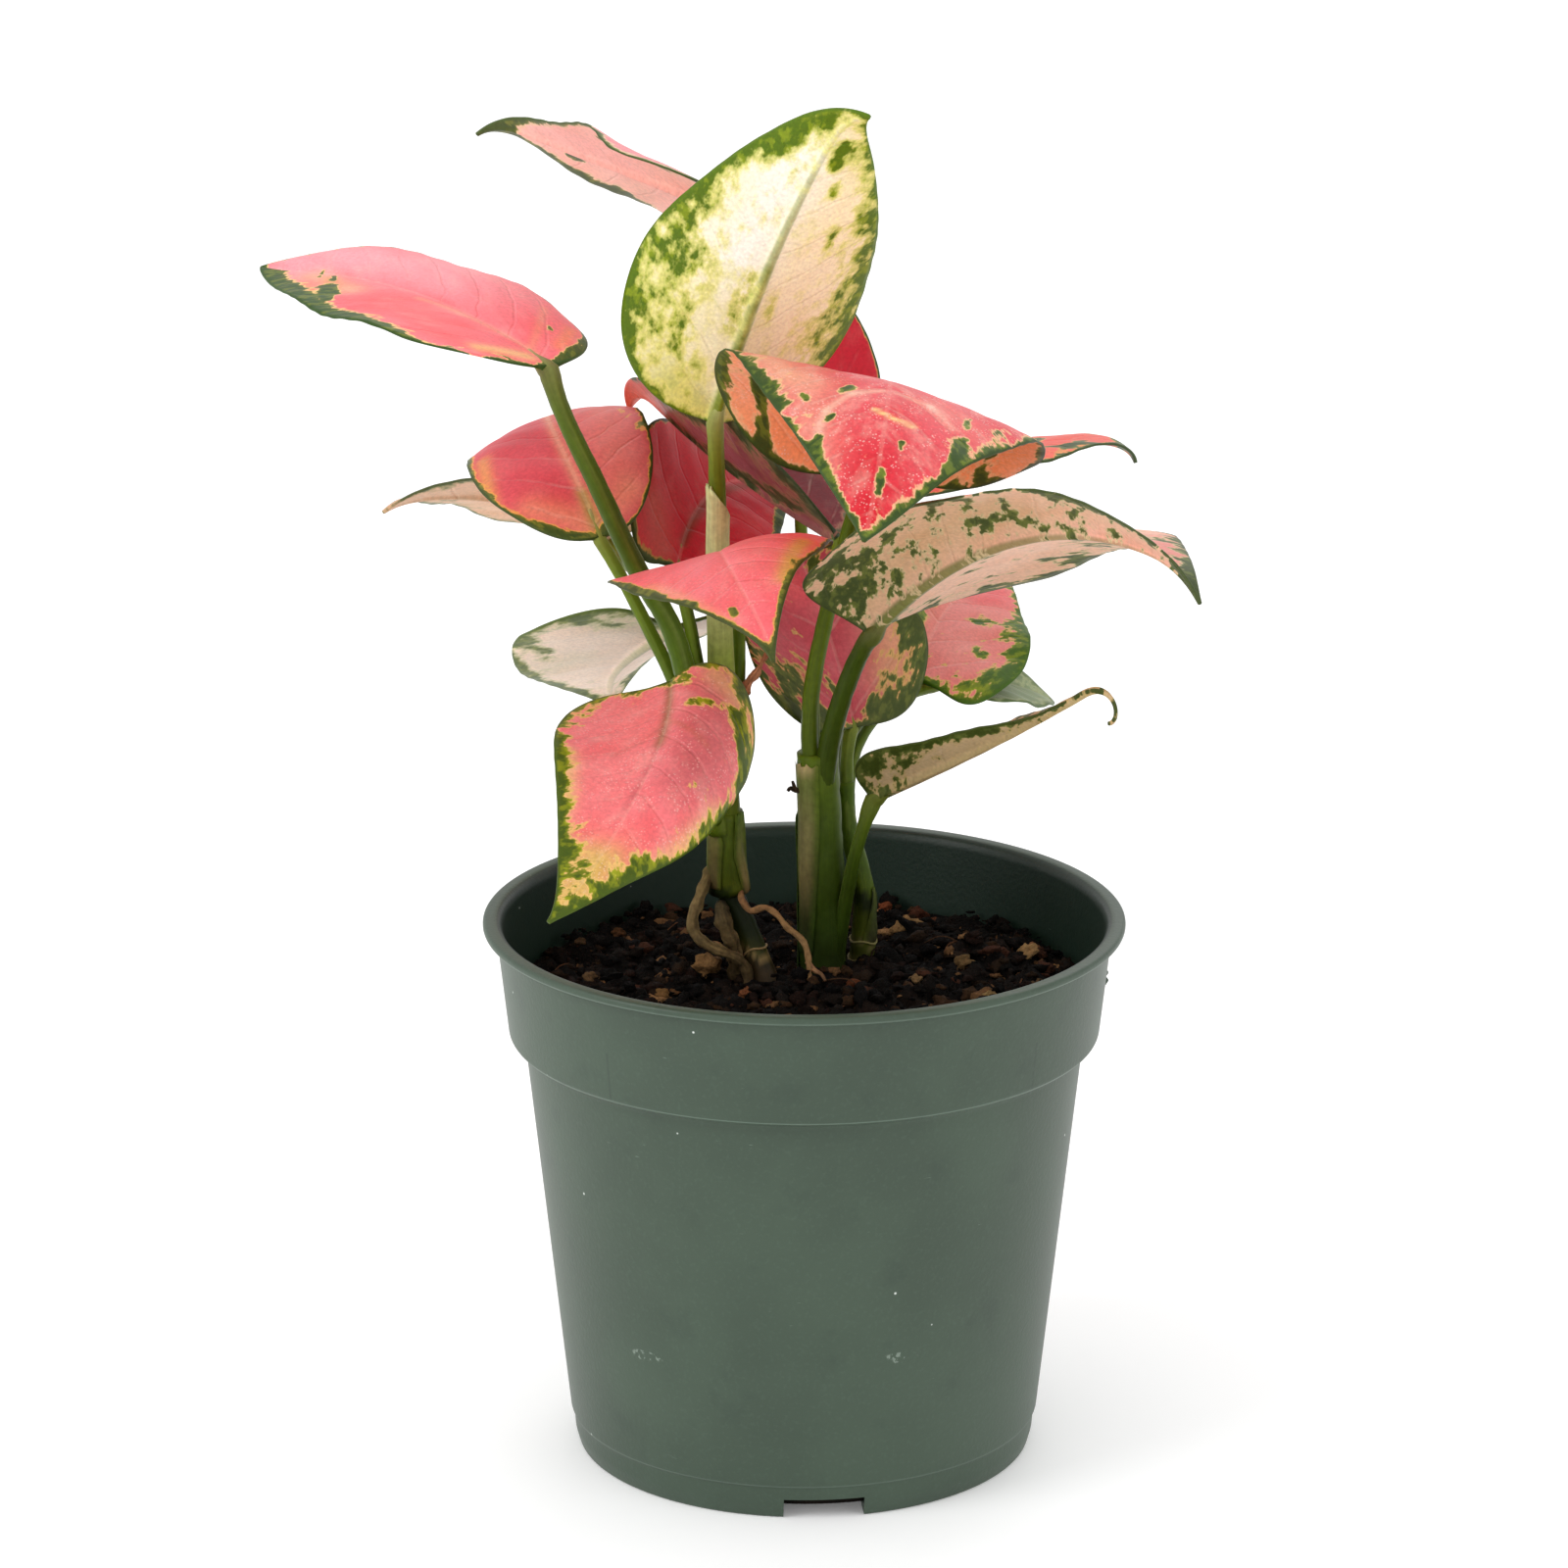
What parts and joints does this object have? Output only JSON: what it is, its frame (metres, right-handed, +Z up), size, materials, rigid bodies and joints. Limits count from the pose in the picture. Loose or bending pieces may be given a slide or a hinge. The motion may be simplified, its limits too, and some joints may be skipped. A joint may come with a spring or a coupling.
{
  "type": "potted lady valentine chinese evergreen",
  "caption": "Pink and green leaved chinese evergreen with slender green stalks in a round grey-green nursery pot filled with potting mix.",
  "frame": {"origin": "centre of the pot's foot, on the surface that it stands on", "axes": "+Z up the pot's axis, the way the plant grows; -Y is the front, the side that the picture shows; +X is to the right"},
  "size_m": [0.153, 0.1616, 0.2339],
  "materials": {
    "pot": "satin",
    "potting_mix": "matte",
    "stalk_green": "satin",
    "root": "matte",
    "leaf_pink": "satin",
    "leaf_cream": "satin"
  },
  "bodies": {
    "root": {"pot": "pot", "potting_mix": "potting_mix", "shoot_left": "stalk_green", "shoot_middle": "stalk_green", "shoot_right": "stalk_green", "root_grey": "root", "root_peg": "root", "root_brown": "root", "leaf_top_back": "leaf_pink", "leaf_crown": "leaf_cream", "leaf_upper_left": "leaf_pink", "leaf_left_front": "leaf_pink", "leaf_left_back": "leaf_pink", "leaf_back": "leaf_pink", "leaf_back_high": "leaf_pink", "leaf_crown_front": "leaf_pink", "leaf_long_right": "leaf_pink", "leaf_low_right": "leaf_pink", "leaf_low_back": "leaf_pink", "leaf_small_front": "leaf_pink", "leaf_low_front": "leaf_pink", "leaf_low_left": "leaf_pink", "leaf_far_left": "leaf_pink", "leaf_far_right": "leaf_pink", "leaf_lowest_right": "leaf_pink", "leaf_small_right": "leaf_pink"}
  },
  "joints": []
}
